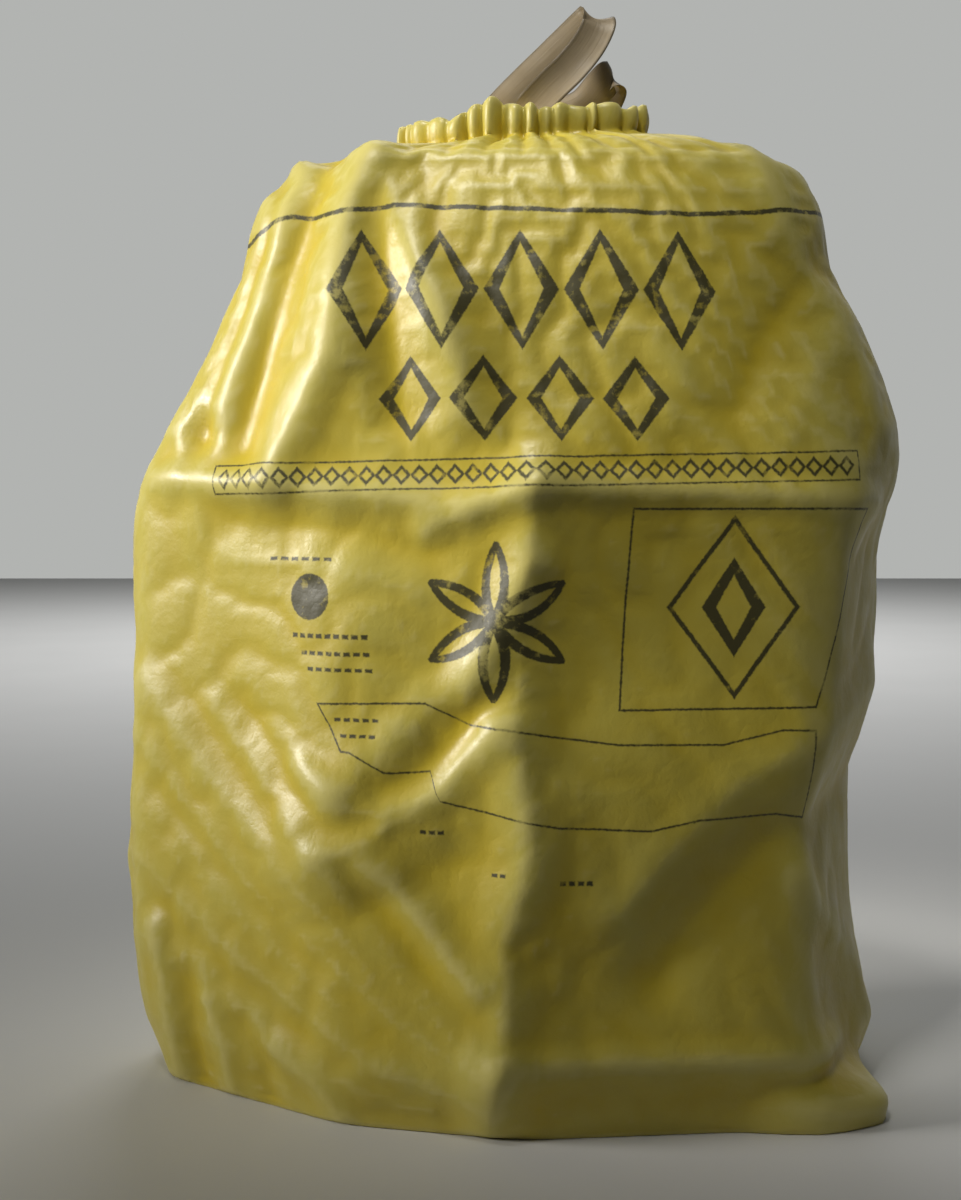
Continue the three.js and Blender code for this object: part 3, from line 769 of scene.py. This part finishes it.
def curve_line(u, points, left, right):
    """The height of a line through points at each place across, in millimetres."""
    low = min(p[1] for p in points) - 1
    high = max(p[1] for p in points) + 1
    node = u.tree.tree.nodes.new("ShaderNodeFloatCurve")
    line = node.mapping.curves[0].points
    spots = [((x - left) / (right - left), (y - low) / (high - low)) for x, y in points]
    spots = [(0, spots[0][1])] + spots + [(1, spots[-1][1])]
    for k, spot in enumerate(spots):
        point = line[k] if k < 2 else line.new(*spot)
        point.location = spot
        point.handle_type = "VECTOR"
    node.mapping.update()
    u.tree.feed(node.inputs["Value"], ((u - left) / (right - left)).socket)
    return Field(u.tree, node.outputs[0]) * (high - low) + low


# %% The printed lines, in film millimetres
FILL_LINE = [(-235, 622), (-211, 627), (-189, 636), (-168, 639), (-125, 637), (-81, 642), (17, 639),
             (71, 638), (128, 637), (234, 646)]
BOX_TOP = [(-152, 298), (-67, 301), (-36, 287), (66, 274), (138, 273), (180, 282), (203, 281)]
BOX_FOOT = [(-124, 266), (-99, 253), (-67, 254), (-57, 234), (25, 219), (86, 216), (121, 223), (177, 224),
            (204, 219)]
PRINT_SPAN = (-260.0, 260.0)
HEADING_HEIGHT = 583
SECOND_HEIGHT = 508
BAND_HEIGHT = 453
BAND_SLOPE = 0.021
SIGN = (146, 366)
ROSETTE = (-18, 357)
BADGE = (-153, 372)
DASH_ROWS = [
    ((-184, 398), 9.0, 6, 1.2), ((-166, 345), 7.0, 9, 1.6), ((-158, 333), 7.0, 8, 1.4),
    ((-152, 322), 7.5, 7, 1.3), ((-132, 288), 7.0, 5, 1.2), ((-128, 277), 7.0, 4, 1.2),
    ((-70, 213), 6.0, 3, 1.3), ((-20, 186), 6.0, 2, 1.2), ((27, 181), 6.0, 4, 1.6),
]


def printing(u, v):
    """The distance to the nearest printed edge."""
    fill = (abs(v - curve_line(u, FILL_LINE, *PRINT_SPAN)) - 1.7).most(abs(u) - 300)
    upper = repeated(u, -108.0, 55.0, 5)
    upper_hole = lozenge(upper, v, (0, HEADING_HEIGHT), (15, 33)) * -1
    heading = lozenge(upper, v, (0, HEADING_HEIGHT), (26, 42)).most(upper_hole)
    lower = repeated(u, -77.0, 52.0, 4)
    lower_hole = lozenge(lower, v, (0, SECOND_HEIGHT), (13, 21)) * -1
    second = lozenge(lower, v, (0, SECOND_HEIGHT), (23, 29)).most(lower_hole)
    level = v - (u + 233) * BAND_SLOPE
    band = outline(box(u, level, (3.5, BAND_HEIGHT), (236.5, 10)), 1.3)
    link_of_chain = lozenge(repeated(u, -222.0, 12.5, 37), level, (0, BAND_HEIGHT), (5.2, 5.6))
    chain = outline(link_of_chain, 2.2)
    left, right = u * -1 + 66 + (v - 294) * 0.073, u - 206 - (v - 302) * 0.35
    frame_line = outline(left.most(right, v * -1 + 297, v - 433), 1.5)
    inner = lozenge(u, v, SIGN, (22, 34)).most(lozenge(u, v, SIGN, (12, 22)) * -1)
    sign = outline(lozenge(u, v, SIGN, (44, 60)), 3.2).least(inner)
    petals = rosette(u, v, ROSETTE, 52) - 3.4 + disc(u, v, ROSETTE, 20) * 0.03
    centre = disc(u, v, ROSETTE, 6)
    badge = disc(u, v, BADGE, 16)
    top_line = curve_line(u, BOX_TOP, *PRINT_SPAN)
    foot_line = curve_line(u, BOX_FOOT, *PRINT_SPAN)
    write_box = outline((v - top_line).most(foot_line - v, u - 203, u * -1 - 138 - (v - 282) * 0.5), 1.4)
    dashes = [box(repeated(u, float(x), step, count), v, (0, z), (step * 0.34, high))
              for (x, z), step, count, high in DASH_ROWS]
    return fill.least(heading, second, band, chain, frame_line, sign, petals, centre, badge,
                      write_box, *dashes)


# %% [markdown]
# ## Yellow film
# The real film is a little translucent, and it is stretched white on sharp crests. The finish paints the
# light that shines through the film into its colour, as a painted golden glow and painted shade in its
# hollows and a painted lighter colour on its raised parts, and it paints the white crests: two attributes on
# the mesh say where they are. Its gloss is uneven, and fine crinkles that are too small for the mesh are
# bump. The ink lies on the film with soft, slightly ragged edges, and it is worn where the film is creased.

# %% Where the film is hollow and where it is creased
def stood_out(rounds, scale):
    """How far each point stands out from its neighbourhood, in units of a scale in metres."""
    around = averaged(film, rounds, FIRST_WALL, ROWS - 2)
    return np.clip(np.einsum("ijk,ijk->ij", film - around, normals_of(film)) / scale, -1, 1)


# The relief drives the painted glow and painted shade of the hollows; the crest drives the whitening and the
# ink's wear.
for name, field in (("relief", stood_out(40, 3 * MM)), ("crest", stood_out(3, 0.45 * MM))):
    spread = sack.data.attributes.new(name, "FLOAT", "POINT")
    spread.data.foreach_set("value", np.concatenate([field.ravel(), [0, 0]]).astype(np.float32))
    print(name, "from", round(float(field.min()), 2), "to", round(float(field.max()), 2))


# %% The film's finish
FILM_PALE = (0.55, 0.475, 0.095, 1)
FILM_GOLDEN_GLOW_AND_TONE = (0.54, 0.405, 0.02, 1)
FILM_STRETCHED = (0.74, 0.66, 0.3, 1)
INK = (0.028, 0.027, 0.012, 1)
FILM_ROUGHNESS = 0.41


def film_finish():
    """Yellow polythene with its printing."""
    material = bpy.data.materials.new("yellow film")
    material.use_nodes = True
    tree = Tree(material.node_tree)
    shader = material.node_tree.nodes["Principled BSDF"]
    place = tree.add("ShaderNodeUVMap", settings={"uv_map": "film"})
    solid = tree.add("ShaderNodeTexCoord", 3)
    parts = tree.add("ShaderNodeSeparateXYZ", Vector=place).node.outputs
    relief = Field(tree, tree.add("ShaderNodeAttribute", 2, {"attribute_name": "relief"}))
    crest = Field(tree, tree.add("ShaderNodeAttribute", 2, {"attribute_name": "crest"}))
    broad = noise(tree, solid, 0.09, 3.0)
    patch = noise(tree, solid, 0.022, 3.0, 0.6)
    grain = noise(tree, place, 0.0022, 2.0)
    u = Field(tree, parts["X"]) * 1000
    v = Field(tree, parts["Y"]) * 1000
    ragged = printing(u, v) + (grain - 0.5) * 1.6
    worn = (noise(tree, place, 0.009, 3.0, 0.7) + abs(crest) * 0.22).between(0.62, 0.78)
    ink = ragged.between(0.5, -0.5) * (worn * -0.5 + 1)

    # Painted glow and shade: golden and darker in the hollows and paler on raised parts, standing in for
    # light shining through the film; the noise adds real random tone.
    hollow = (relief * -0.5 + 0.5 + (broad - 0.5) * 0.9 + (patch - 0.5) * 0.5).between(0, 1)
    yellow = tree.add("ShaderNodeMix", 2, {"data_type": "RGBA"}, Factor=hollow.socket,
                      A=FILM_PALE, B=FILM_GOLDEN_GLOW_AND_TONE)
    white = (crest + (patch - 0.5) * 0.4).between(0.25, 1.1) * 0.35
    stretched = tree.add("ShaderNodeMix", 2, {"data_type": "RGBA"}, Factor=white.socket, A=yellow,
                         B=FILM_STRETCHED)
    colour = tree.add("ShaderNodeMix", 2, {"data_type": "RGBA"}, Factor=(ink * 0.93).socket, A=stretched,
                      B=INK)
    tree.feed(shader.inputs["Base Color"], colour)
    gloss = (patch - 0.5) * 0.3 + (grain - 0.5) * 0.08 + ink * 0.08 + FILM_ROUGHNESS
    tree.feed(shader.inputs["Roughness"], gloss.socket)

    crinkle = abs(noise(tree, solid, 0.014, 3.0, 0.55) - 0.5) * 2
    fine = abs(noise(tree, place, 0.005, 2.0) - 0.5)
    relief_height = crinkle * 0.5 + fine * 0.12 + ink * 0.01
    bump = tree.add("ShaderNodeBump", Strength=0.6, Distance=0.001, Height=relief_height.socket)
    tree.feed(shader.inputs["Normal"], bump)
    shader.inputs["IOR"].default_value = 1.5
    return material


film_material = film_finish()
sack.data.materials.append(film_material)
print(len(film_material.node_tree.nodes), "nodes in the film's finish")

# %% [markdown]
# ## Taupe tape
# The tape is the same plastic, thicker and dyed. Its long sides are heat cut and a little darker, and a much
# darker rim is painted along them as painted shade of the edges. Pulling has drawn fine lines along it. The
# strip's own coordinates say what is along and across.

# %% The tape's finish
TAPE_DARK = (0.3, 0.235, 0.145, 1)
TAPE_LIGHT = (0.42, 0.335, 0.215, 1)
TAPE_RIM_PAINTED_SHADE = (0.11, 0.088, 0.05, 1)
TAPE_ROUGHNESS = 0.46


def tape_finish():
    """Satin taupe plastic with lengthwise lines and rims darkened mostly by painted shade."""
    material = bpy.data.materials.new("taupe tape")
    material.use_nodes = True
    tree = Tree(material.node_tree)
    shader = material.node_tree.nodes["Principled BSDF"]
    place = tree.add("ShaderNodeUVMap", settings={"uv_map": "strip"})
    solid = tree.add("ShaderNodeTexCoord", 3)
    across = Field(tree, tree.add("ShaderNodeSeparateXYZ", Vector=place).node.outputs["Y"])
    edge = abs(across - 0.5).between(0.4, 0.49)
    stretched_place = tree.vector("MULTIPLY", place, (6.0, 30.0, 1.0))
    lines = Field(tree, tree.add("ShaderNodeTexNoise", Vector=stretched_place, Scale=1.0, Detail=3.0))
    patch = noise(tree, solid, 0.018, 3.0)
    shade = ((lines - 0.5) * 0.5 + (patch - 0.5) * 0.8 + 0.5).between(0, 1)
    taupe = tree.add("ShaderNodeMix", 2, {"data_type": "RGBA"}, Factor=shade.socket,
                     A=TAPE_DARK, B=TAPE_LIGHT)
    # The rims are darkened mostly by painted shade of the tape's edges, over a slightly darker heat cut edge.
    colour = tree.add("ShaderNodeMix", 2, {"data_type": "RGBA"}, Factor=(edge * 0.75).socket, A=taupe,
                      B=TAPE_RIM_PAINTED_SHADE)
    tree.feed(shader.inputs["Base Color"], colour)
    tree.feed(shader.inputs["Roughness"], ((patch - 0.5) * 0.25 + TAPE_ROUGHNESS).socket)
    height = lines * 0.6 + patch * 0.5 + edge * 0.5
    bump = tree.add("ShaderNodeBump", Strength=0.6, Distance=0.0008, Height=height.socket)
    tree.feed(shader.inputs["Normal"], bump)
    return material


draw_tape = baked("draw_tape_strip", tape_path(), tape_tree(), Width=25 * MM, Trough=2.5 * MM,
                  Ripple=2.5 * MM, Thickness=0.4 * MM, Finish=tape_finish())
print(len(draw_tape.data.polygons), "faces in the tape")

# %% [markdown]
# ## Floor and light
# The key lamp stands low at the left: it wraps round the left of the sack, and the right face falls into
# shade, as in the photograph. A weak one lights the shoulder from above, and a third lights only the floor
# behind. The beams are narrow, so that little light comes back from the floor in front. The room is pale
# behind the sack and nearly dark in front of it.

# %% Floor
floor = link("floor", bpy.data.meshes.new("floor"))
floor.data.from_pydata([(-6, -4, 0), (6, -4, 0), (6, 8, 0), (-6, 8, 0)], [], [(0, 1, 2, 3)])


def floor_finish():
    """Smooth pale studio floor with a faint mottle."""
    material = bpy.data.materials.new("pale floor")
    material.use_nodes = True
    tree = Tree(material.node_tree)
    shader = material.node_tree.nodes["Principled BSDF"]
    mottle = noise(tree, tree.add("ShaderNodeTexCoord", 3), 0.25, 4.0)
    colour = tree.add("ShaderNodeMix", 2, {"data_type": "RGBA"}, Factor=mottle.socket,
                      A=(0.62, 0.62, 0.61, 1), B=(0.67, 0.67, 0.66, 1))
    tree.feed(shader.inputs["Base Color"], colour)
    tree.feed(shader.inputs["Roughness"], ((mottle - 0.5) * 0.2 + 0.7).socket)
    return material


floor.data.materials.append(floor_finish())

# %% Lamps and room: name, place, aim, size, power in watts, colour and spread in degrees
LAMPS = [
    ("key_light", (-2.15, -0.45, 1.08), (0, -0.03, 0.46), 0.7, 2.5, (1, 0.97, 0.92), 30),
    ("top_light", (-0.3, -0.8, 2.05), (0, -0.08, 0.66), 0.4, 0.5, (1, 0.98, 0.93), 22),
    ("floor_light", (0, 4, 5), (0, 4.01, 0), 2, 70, (1, 1, 1), 94),
]
ROOM_COLOUR = (0.98, 1, 0.97, 1)
ROOM_IN_FRONT = 0.035
ROOM_BEHIND = 0.42


def lamp(name, place, aim, size, power, colour, spread):
    """A square lamp at a place, turned to its aim."""
    light = bpy.data.lights.new(name, "AREA")
    light.size = size
    light.energy = power
    light.color = colour
    light.spread = math.radians(spread)
    made = link(name, light)
    made.location = place
    made.rotation_euler = (Vector(aim) - Vector(place)).to_track_quat("-Z", "Y").to_euler()


def room_light():
    """A world that is pale behind the sack and nearly dark in front of it."""
    room = bpy.data.worlds.new("room")
    room.use_nodes = True
    tree = Tree(room.node_tree)
    way = tree.add("ShaderNodeSeparateXYZ", Vector=tree.add("ShaderNodeTexCoord", 0)).node.outputs
    glow = Field(tree, way["Y"]).between(0.1, 0.9) * ROOM_BEHIND + ROOM_IN_FRONT
    background = room.node_tree.nodes["Background"]
    background.inputs["Color"].default_value = ROOM_COLOUR
    tree.feed(background.inputs["Strength"], glow.socket)
    return room


for values in LAMPS:
    lamp(*values)
scene.world = room_light()
scene.view_settings.view_transform = "Standard"
print(len(LAMPS), "lamps")

# %% [markdown]
# ## Putting the pieces on the frame
# The film and the tape replace the plain solids and ride on the frame's one body.
# The two boxes are kept, to see that the dressed sack kept its size.

# %% Join the pieces to the frame
for piece, node, finish in ((sack, "film_bag", "film"), (draw_tape, "draw_tape", "tape")):
    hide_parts(node)
    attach(piece, "root")
